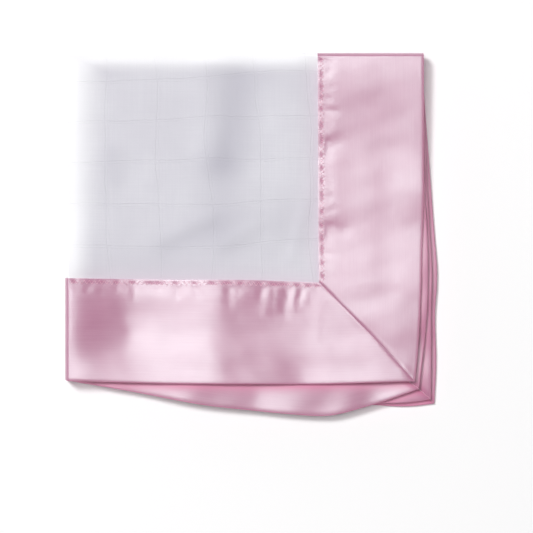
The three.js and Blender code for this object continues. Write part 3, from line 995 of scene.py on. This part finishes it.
# %% Muslin material
PANE_WIDE, PANE_LONG = 0.0282, 0.0259
PANE_FIRST = (0.0212, 0.0170)
YARN_EDGE, YARN_FADE = 0.0001, 0.0004  # half widths of a thick yarn, full and faded out
SECOND_YARN, SECOND_SHOWS = 0.0015, 0.45
WHITES = (0.64, 0.63, 0.68), (0.705, 0.70, 0.745)
# The middle colour here is painted shade.
THIN_WHITE, PAINTED_SHADE_WHITE, PANE_WHITE = (0.61, 0.60, 0.66), (0.53, 0.52, 0.58), (0.50, 0.49, 0.54)
# The second colour here is a painted highlight.
PINKED_WHITE, PAINTED_LIGHT_WHITE = (0.80, 0.64, 0.76), (0.93, 0.93, 0.95)


def pane_lines(tree, place):
    """Two close yarns at every square's edge, which wander as loose cloth does."""
    wander = maths(tree, "MULTIPLY_ADD", noise(tree, place, 14.0, 1), 0.012, -0.006)
    waver = maths(tree, "MULTIPLY_ADD", noise(tree, object_place(tree), 90.0, 1), 0.0012, -0.0006)
    shift = maths(tree, "ADD", wander, waver)
    x, y, _ = split(tree, place)
    lines = []
    for along, other, slant, first, pitch in ((x, y, -0.02, PANE_FIRST[0], PANE_WIDE),
                                              (y, x, 0.04, PANE_FIRST[1], PANE_LONG)):
        moved = maths(tree, "ADD", maths(tree, "MULTIPLY_ADD", other, slant, along), shift)
        cell = maths(tree, "WRAP", maths(tree, "SUBTRACT", moved, first), pitch / 2, -pitch / 2)
        beside = maths(tree, "SUBTRACT", cell, SECOND_YARN)
        for middle, shows in ((cell, 1), (beside, SECOND_SHOWS)):
            away = maths(tree, "ABSOLUTE", middle)
            lines.append(map_range(tree, away, YARN_EDGE, YARN_FADE, shows, 0))
    return maths(tree, "MAXIMUM", maths(tree, "MAXIMUM", *lines[:2]),
                 maths(tree, "MAXIMUM", *lines[2:]))


def muslin_material():
    finish, tree, shader = material("muslin_white")
    place = cut_place(tree)
    yarns = put(tree, weave, place, Warp_pitch=0.0006, Weft_pitch=0.0006, Float_length=1.0)
    uneven = put(tree, slub, place, Streak_length=0.03, Streak_width=0.0009, Blotch_size=0.03)
    cross = put(tree, slub, object_place(tree), Streak_length=0.0009, Streak_width=0.03,
                Blotch_size=0.045)
    panes = pane_lines(tree, place)
    mask = map_range(tree, cross["Blotches"], 0.35, 0.65, 0, 1)
    tone = colour_between(tree, mask, *WHITES)
    streak = maths(tree, "MULTIPLY", maths(tree, "ADD", uneven["Streaks"], cross["Streaks"]), 0.5)
    # Two of these colours are painted light: grey shade where the top ply stands off, and a pale
    # highlight by the folds.
    for mask, colour in [
            (map_range(tree, streak, 0.38, 0.62, 0, 0.4), THIN_WHITE),
            (maths(tree, "MULTIPLY", mark(tree, "PaintedGreyShade"), 0.8), PAINTED_SHADE_WHITE),
            (maths(tree, "MULTIPLY", panes, 0.13), PANE_WHITE),
            (maths(tree, "MULTIPLY", mark(tree, "Tint"), 0.45), PINKED_WHITE),
            (mark(tree, "PaintedFoldLight"), PAINTED_LIGHT_WHITE)]:
        tone = colour_between(tree, mask, tone, colour)
    weave_bump = bump(tree, yarns["Height"], 0.35, 0.0002)
    fill(tree, shader, {
        "Base Color": tone, "Normal": bump(tree, panes, 0.35, 0.0003, weave_bump),
        "Roughness": 0.92, "Specular IOR Level": 0.2, "Sheen Weight": 0.15})
    return finish


muslin_look = muslin_material()
print("muslin look:", muslin_look.name)

# %% [markdown]
# ## Thread
# The seams are sewn with a deep pink polyester thread: two plies twisted together, a
# little shiny on top of each turn.

# %% Thread material
THREAD_PINKS = (0.68, 0.36, 0.47), (0.78, 0.47, 0.58)


def thread_material():
    finish, tree, shader = material("thread_pink")
    place = object_place(tree)
    uneven = put(tree, slub, place, Streak_length=0.0012, Streak_width=0.0012, Blotch_size=0.012)
    mask = map_range(tree, uneven["Blotches"], 0.3, 0.7, 0, 1)
    tone = colour_between(tree, mask, *THREAD_PINKS)
    fill(tree, shader, {
        "Base Color": tone, "Normal": bump(tree, uneven["Streaks"], 0.4, 0.0001),
        "Roughness": 0.5, "Sheen Weight": 0.2})
    return finish


thread_look = thread_material()
for sheets, look in ((muslin_pieces, muslin_look), (satin_pieces, satin_look)):
    for cloth in sheets:
        cloth.data.materials.append(look)
print("thread look:", thread_look.name)

# %% [markdown]
# ## Zigzag stitches
# A domestic machine sews the binding down with a zigzag: each stitch is a short arch of
# thread between two holes. The holes are worked out on the cloth's own surface, and a
# Geometry Nodes tree lays one arch on each edge of that zigzag line. The tree is built
# once, and serves the mitre seams too.

# %% Stitch tree


def stitch_tree():
    """Lays one arch of thread on each edge of a mesh."""
    tree, given, out = new_group("Sewn stitches", {
        "Geometry": "Geometry", "Thread radius": "Float", "Arch height": "Float",
        "Outwards": "Vector", "Thread": "Material"}, {"Geometry": "Geometry"},
        "GeometryNodeTree")
    asked = given.outputs
    ends = node(tree, "GeometryNodeInputMeshEdgeVertices").outputs
    way = node(tree, "ShaderNodeVectorMath", {0: ends["Position 2"], 1: ends["Position 1"]},
               operation="SUBTRACT")
    carry = node(tree, "GeometryNodeCaptureAttribute", domain="EDGE")
    carry.capture_items.new("VECTOR", "Way")
    fill(tree, carry, {"Geometry": asked["Geometry"], "Way": way.outputs[0]})
    way = carry.outputs["Way"]
    points = node(tree, "GeometryNodeMeshToPoints", {"Mesh": carry.outputs["Geometry"]},
                  mode="EDGES")

    twice = maths(tree, "MULTIPLY", asked["Arch height"], 2.0)
    top = node(tree, "ShaderNodeCombineXYZ", {2: twice})
    arch = node(tree, "GeometryNodeCurveQuadraticBezier", {
        "Resolution": 6, "Start": (-0.5, 0, 0), "Middle": top.outputs[0], "End": (0.5, 0, 0)})
    ring = node(tree, "GeometryNodeCurvePrimitiveCircle",
                {"Resolution": 6, "Radius": asked["Thread radius"]})
    tube = node(tree, "GeometryNodeCurveToMesh", {
        "Curve": arch.outputs[0], "Profile Curve": ring.outputs["Curve"], "Fill Caps": True})

    along = node(tree, "FunctionNodeAlignRotationToVector", {"Vector": way}, axis="X")
    upright = node(tree, "FunctionNodeAlignRotationToVector",
                   {"Rotation": along.outputs[0], "Vector": asked["Outwards"]},
                   axis="Z", pivot_axis="X")
    length = node(tree, "ShaderNodeVectorMath", {0: way}, operation="LENGTH")
    size = node(tree, "ShaderNodeCombineXYZ", {0: length.outputs["Value"], 1: 1.0, 2: 1.0})
    place = node(tree, "GeometryNodeInstanceOnPoints", {
        "Points": points.outputs["Points"], "Instance": tube.outputs["Mesh"],
        "Rotation": upright.outputs[0], "Scale": size.outputs[0]})
    real = node(tree, "GeometryNodeRealizeInstances", {0: place.outputs[0]})
    smooth = node(tree, "GeometryNodeSetShadeSmooth", {0: real.outputs[0]})
    look = node(tree, "GeometryNodeSetMaterial",
                {0: smooth.outputs[0], "Material": asked["Thread"]})
    fill(tree, out, {0: look.outputs[0]})
    return tree


sewn = stitch_tree()
print("stitch tree nodes:", len(sewn.nodes))

# %% Sewing a row


def sew(name, holes, up, radius, arch):
    """One row of stitches through the holes, as a plain mesh."""
    line = bpy.data.meshes.new(name + "_line")
    line.from_pydata(holes.tolist(), [(i, i + 1) for i in range(len(holes) - 1)], [])
    row = bpy.data.objects.new(name, line)
    SHOWN.objects.link(row)
    modifier = row.modifiers.new("Stitches", "NODES")
    modifier.node_group = sewn
    values = {"Thread radius": radius * MM, "Arch height": arch * MM,
              "Outwards": (0.0, 0.0, float(up)), "Thread": thread_look}
    for item in sewn.interface.items_tree:
        if item.in_out == "INPUT" and item.name in values:
            modifier[item.identifier] = values[item.name]
    done = row.evaluated_get(bpy.context.evaluated_depsgraph_get())
    finished = bpy.data.meshes.new_from_object(done)
    row.modifiers.clear()
    row.data = finished
    bpy.data.meshes.remove(line)
    finished.name = name
    return row


print("ready to sew")

# %% Zigzag rows
ZIGZAG_HALF, ZIGZAG_STEP, ZIGZAG_SLIP = 1.15, 1.35, 0.15
ZIGZAG_STOP = FIELD - 1.2
THREAD_RADIUS, THREAD_ARCH, HOLE_ABOVE = 0.13, 0.22, 0.02
# How far from each kind of fold the first stitch lies
FIRST_STITCH = {"wrap": 2.8, "meet": 1.5, "begin": 8.4, "nested": 6.0, "lining": 4.6}


def on_face(k, up, side, across, along):
    """A point just above the satin, at a distance from the bound edge and along it."""
    u, v = (SIDE - across, along) if side else (along, SIDE - across)
    x, down = plan(k, u, v)
    height = satin_height(k, up, side, u, v, x, down) + HOLE_ABOVE
    section = section_of(k, up, HALF_THICK, side)
    drop = np.interp(along, section[0], section[1])
    folds = lift(k, 0 * drop, drop) if side else lift(k, drop, 0 * drop)
    return to_frame(x, down, cloth_z(k, up, up * height, folds, u, v, x, down))


stitch_rows = []
for k, label, up in faces():
    for side in (True, False):
        start = FIRST_STITCH[(FAR_KINDS if side else LEFT_KINDS)[k][up]]
        count = int((ZIGZAG_STOP - start) / ZIGZAG_STEP)
        swing = np.where(np.arange(count) % 2 == 0, 1, -1) * ZIGZAG_HALF
        jitter = np.random.default_rng(40 + 4 * k + 2 * side + (up > 0))
        across = BORDER - 0.1 + swing + jitter.uniform(-ZIGZAG_SLIP, ZIGZAG_SLIP, count)
        holes = on_face(k, up, side, across, np.linspace(start, ZIGZAG_STOP, count))
        kind = "side" if side else "end"
        row = sew(f"{LAYERS[k]['name']}_{kind}_zigzag_{label}", holes, up,
                  THREAD_RADIUS, THREAD_ARCH)
        stitch_rows.append((row, k, kind, label))
print("zigzag rows:", len(stitch_rows), "triangles in one:",
      sum(len(p.vertices) - 2 for p in stitch_rows[0][0].data.polygons))

# %% Mitre seams
MITRE_STEP, MITRE_SWING, MITRE_DEEP, MITRE_TURN = 1.5, 0.12, 0.34, 1.25
MITRE_RADIUS, MITRE_ARCH = 0.15, 0.05
mitre_rows = []
for k, layer in enumerate(LAYERS):
    flat_run = np.arange(LIP - 1.0, 1.3, -MITRE_STEP)
    turn = np.linspace(0, math.pi, 5)[1:-1]
    across = np.concatenate([flat_run, MITRE_TURN * (1 - np.sin(turn)), flat_run[::-1]])
    face = np.concatenate([flat_run * 0 + 1, np.cos(turn), flat_run * 0 - 1])
    sideways = np.where(np.arange(len(across)) % 2 == 0, 1, -1) * MITRE_SWING
    u, v = SIDE - across + sideways, SIDE - across - sideways
    x, down = plan(k, u, v)
    z = cloth_z(k, face, face * (HALF_THICK - MITRE_DEEP), 0, u, v, x, down)
    row = sew(f"{layer['name']}_mitre_stitches", to_frame(x, down, z), 1, MITRE_RADIUS, MITRE_ARCH)
    mitre_rows.append((row, k))
print("mitre seams:", len(mitre_rows))

# %% [markdown]
# ## The cloth inside the second fold
# When the blanket is opened like a book, the front of quarter 3 runs on into the front
# of quarter 2. Both quarters' sheets stop 8 mm short of the fold, and a narrow strip
# bridges them, bent like a hairpin when the book is shut. Its ends are tucked just under
# its neighbours, and where it meets the first fold it is turned down to that fold's
# plane, as they are.

# %% Fold strips
HAIRPIN_AT, HAIRPIN = 1.0, 0.15
TUCK, TUCK_DEEP = 0.7, 0.07
STRIP_THICK = 0.25


def fold_strip(name, heights, v, along, droop):
    """heights(k, up, u, v, x, down) gives the face that the strip has to meet.

    Where droop is 1 the strip has turned down to the plane of the first fold.
    """
    v, along, droop = v[None, :], along[None, :], droop[None, :]
    reach = np.linspace(STRIP_FROM + TUCK, HAIRPIN_AT, 16)[:, None]
    sides = []
    for k, up in ((2, 1), (1, -1)):
        x, down = plan(k, reach, v)
        at = plan(k, STRIP_FROM, v)
        face = LAYERS[k]["middle"] + up * heights(k, up, STRIP_FROM + 0 * v, v, *at)
        face = face + loft(k, STRIP_FROM + 0 * v, v, *at, up) - up * TUCK_DEEP
        goal = SECOND_Z - up * HAIRPIN
        bend = ease((STRIP_FROM - reach) / (STRIP_FROM - HAIRPIN_AT))
        z = face + (goal - face) * bend
        sides.append((x, down, z + (LAYERS[k]["far_z"] - z) * droop))
    angle = np.linspace(-math.pi / 2, math.pi / 2, 9)[1:-1, None]
    share = (np.sin(angle) + 1) / 2
    x = sides[0][0][-1:] * (1 - share) + sides[1][0][-1:] * share - HAIRPIN * np.cos(angle)
    down = sides[0][1][-1:] * (1 - share) + sides[1][1][-1:] * share
    z = SECOND_Z + HAIRPIN * np.sin(angle) + 0 * x
    z = z + (LOWER_Z * (1 - share) + UPPER_Z * share - z) * droop
    join = [np.concatenate([a, m, b[::-1]]) for a, m, b in zip(sides[0], (x, down, z), sides[1])]
    u = np.concatenate([-reach, np.linspace(-0.9, 0.9, 7)[:, None], reach[::-1]])
    flat = np.stack(np.broadcast_arrays(u, -along), axis=-1)
    # The strip carries the same painted highlight by the folds.
    return shell(name, to_frame(*join), flat, STRIP_THICK, (4, v.shape[1] // 3, 1),
                 {"PaintedFoldLight": painted_fold_light(np.abs(u), v)})


far_cut, far_drop, far_along = run_on(
    section_of(2, 1, FOLD_HEIGHT, True), np.linspace(FLAT_FROM, OPENING + 1, 56)[1:])
muslin_fold = fold_strip("second_fold_muslin", muslin_height, far_cut, far_along,
                         far_drop / far_drop.max())
satin_part = np.concatenate([np.arange(OPENING, 150, 0.6), np.linspace(150, SIDE - 1.3, 30)])
satin_fold = fold_strip(
    "second_fold_satin", lambda k, up, u, v, x, down: satin_height(k, up, False, u, v, x, down),
    satin_part, satin_part, 0 * satin_part)
muslin_fold.data.materials.append(muslin_look)
satin_fold.data.materials.append(satin_look)
print("fold strips:", muslin_fold.name, satin_fold.name)

# %% [markdown]
# ## Riding on the frame
# Every piece of a quarter rides on that quarter and replaces the solid it stands for;
# the two fold strips stay put in the frame. A ply of muslin is 200 mm each way in one
# quarter, and a strip of satin is 200 mm long and twice 60 mm wide, with its ends cut
# on the diagonal.

# %% Bodies and replaced solids
MUSLIN_FOLD_CUT, SATIN_FOLD_CUT = (0.018, 0.141), (0.018, 0.059)


def dress(piece, k, solid):
    """The piece rides on quarter k + 1 and takes the place of one of its solids."""
    body = LAYERS[k]["name"]
    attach(piece, body)
    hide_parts(f"{body}_{solid}")


for ply in muslin_pieces:
    dress(ply, ply["layer"], f"muslin_{ply['face']}")
for strip in satin_pieces:
    dress(strip, strip["layer"], f"{'side' if strip['side'] else 'end'}_binding")
for row, k, kind, label in stitch_rows:
    dress(row, k, f"{kind}_stitches_{label}")
for row, k in mitre_rows:
    dress(row, k, "mitre_seam")
for strip, slot, cut in ((muslin_fold, "muslin", MUSLIN_FOLD_CUT),
                         (satin_fold, "satin", SATIN_FOLD_CUT)):
    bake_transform(strip)
print("pieces in place")

# %% [markdown]
# ## Floor, light and camera
# The photograph was taken from straight above on a white table, lit by a broad soft
# light from the upper left. The floor keeps the blanket's shadow and shows white to the
# camera. Two soft boxes high above are what the two satin borders mirror, and the wide
# window gives the shadows.

# %% Floor and world
# The walls of the studio are white and its ceiling is dim, so flat satin mirrors little.
# Height on the walls where they end and where the ceiling begins, and the light of each
MIRRORED, FALLING = (0.45, 0.9, 1.3, 0.2), (0.15, 0.4, 1.2, 0.04)


def white_to_camera(tree, seen, lit):
    """Strength seen directly, in gloss or through glass; lit is what falls on the cloth."""
    path = node(tree, "ShaderNodeLightPath").outputs
    direct = maths(tree, "MAXIMUM", path["Is Camera Ray"], path["Is Glossy Ray"])
    direct = maths(tree, "MAXIMUM", direct, path["Is Transmission Ray"])
    return maths(tree, "MULTIPLY_ADD", direct, maths(tree, "SUBTRACT", seen, lit), lit)


world = bpy.data.worlds.new("studio")
bpy.context.scene.world = world
world.use_nodes = True
studio = world.node_tree
way_up = split(studio, node(studio, "ShaderNodeTexCoord").outputs["Generated"])[2]
strength = white_to_camera(studio, map_range(studio, way_up, *MIRRORED),
                           map_range(studio, way_up, *FALLING))
fill(studio, studio.nodes["Background"], {"Color": (1.0, 0.96, 1.0, 1), "Strength": strength})

floor_mesh = bpy.data.meshes.new("floor")
floor_mesh.from_pydata([(-3, -3, 0), (3, -3, 0), (3, 3, 0), (-3, 3, 0)], [], [(0, 1, 2, 3)])
floor = bpy.data.objects.new("floor", floor_mesh)
SHOWN.objects.link(floor)
floor_look, floor_tree, floor_shader = material("white_table")
fill(floor_tree, floor_shader, {
    "Base Color": (0.9, 0.9, 0.9, 1), "Roughness": 0.9, "Specular IOR Level": 0.1,
    "Emission Strength": white_to_camera(floor_tree, 0.1, 0.0),
    "Emission Color": (1, 1, 1, 1)})
floor_mesh.materials.append(floor_look)

LAMPS = [  # name, place, size and power: a soft box for each border, and a wide window
    ("soft_box_near", (-0.27, 0.05, 2.10), 0.55, 7.4),
    ("soft_box_right", (-0.10, 0.31, 2.10), 0.55, 7.3),
    ("window_light", (-0.97, 0.89, 2.47), 0.60, 52.0),
]
for name, where, size, power in LAMPS:
    lamp = bpy.data.lights.new(name, "AREA")
    lamp.shape, lamp.size, lamp.energy = "SQUARE", size, power
    lamp_object = bpy.data.objects.new(name, lamp)
    SHOWN.objects.link(lamp_object)
    lamp_object.location = where
    lamp_object.rotation_euler = (-lamp_object.location).to_track_quat("-Z", "Y").to_euler()
print("floor and light ready")

# %% Camera
CAMERA_AT = (0.0085, -0.0177, 1.5)
camera = bpy.data.cameras.new("camera")
camera.sensor_width, camera.lens = 36.0, 179.0
camera_object = bpy.data.objects.new("camera", camera)
SHOWN.objects.link(camera_object)
camera_object.location = CAMERA_AT
bpy.context.scene.camera = camera_object
bpy.context.scene.view_settings.view_transform = "Standard"
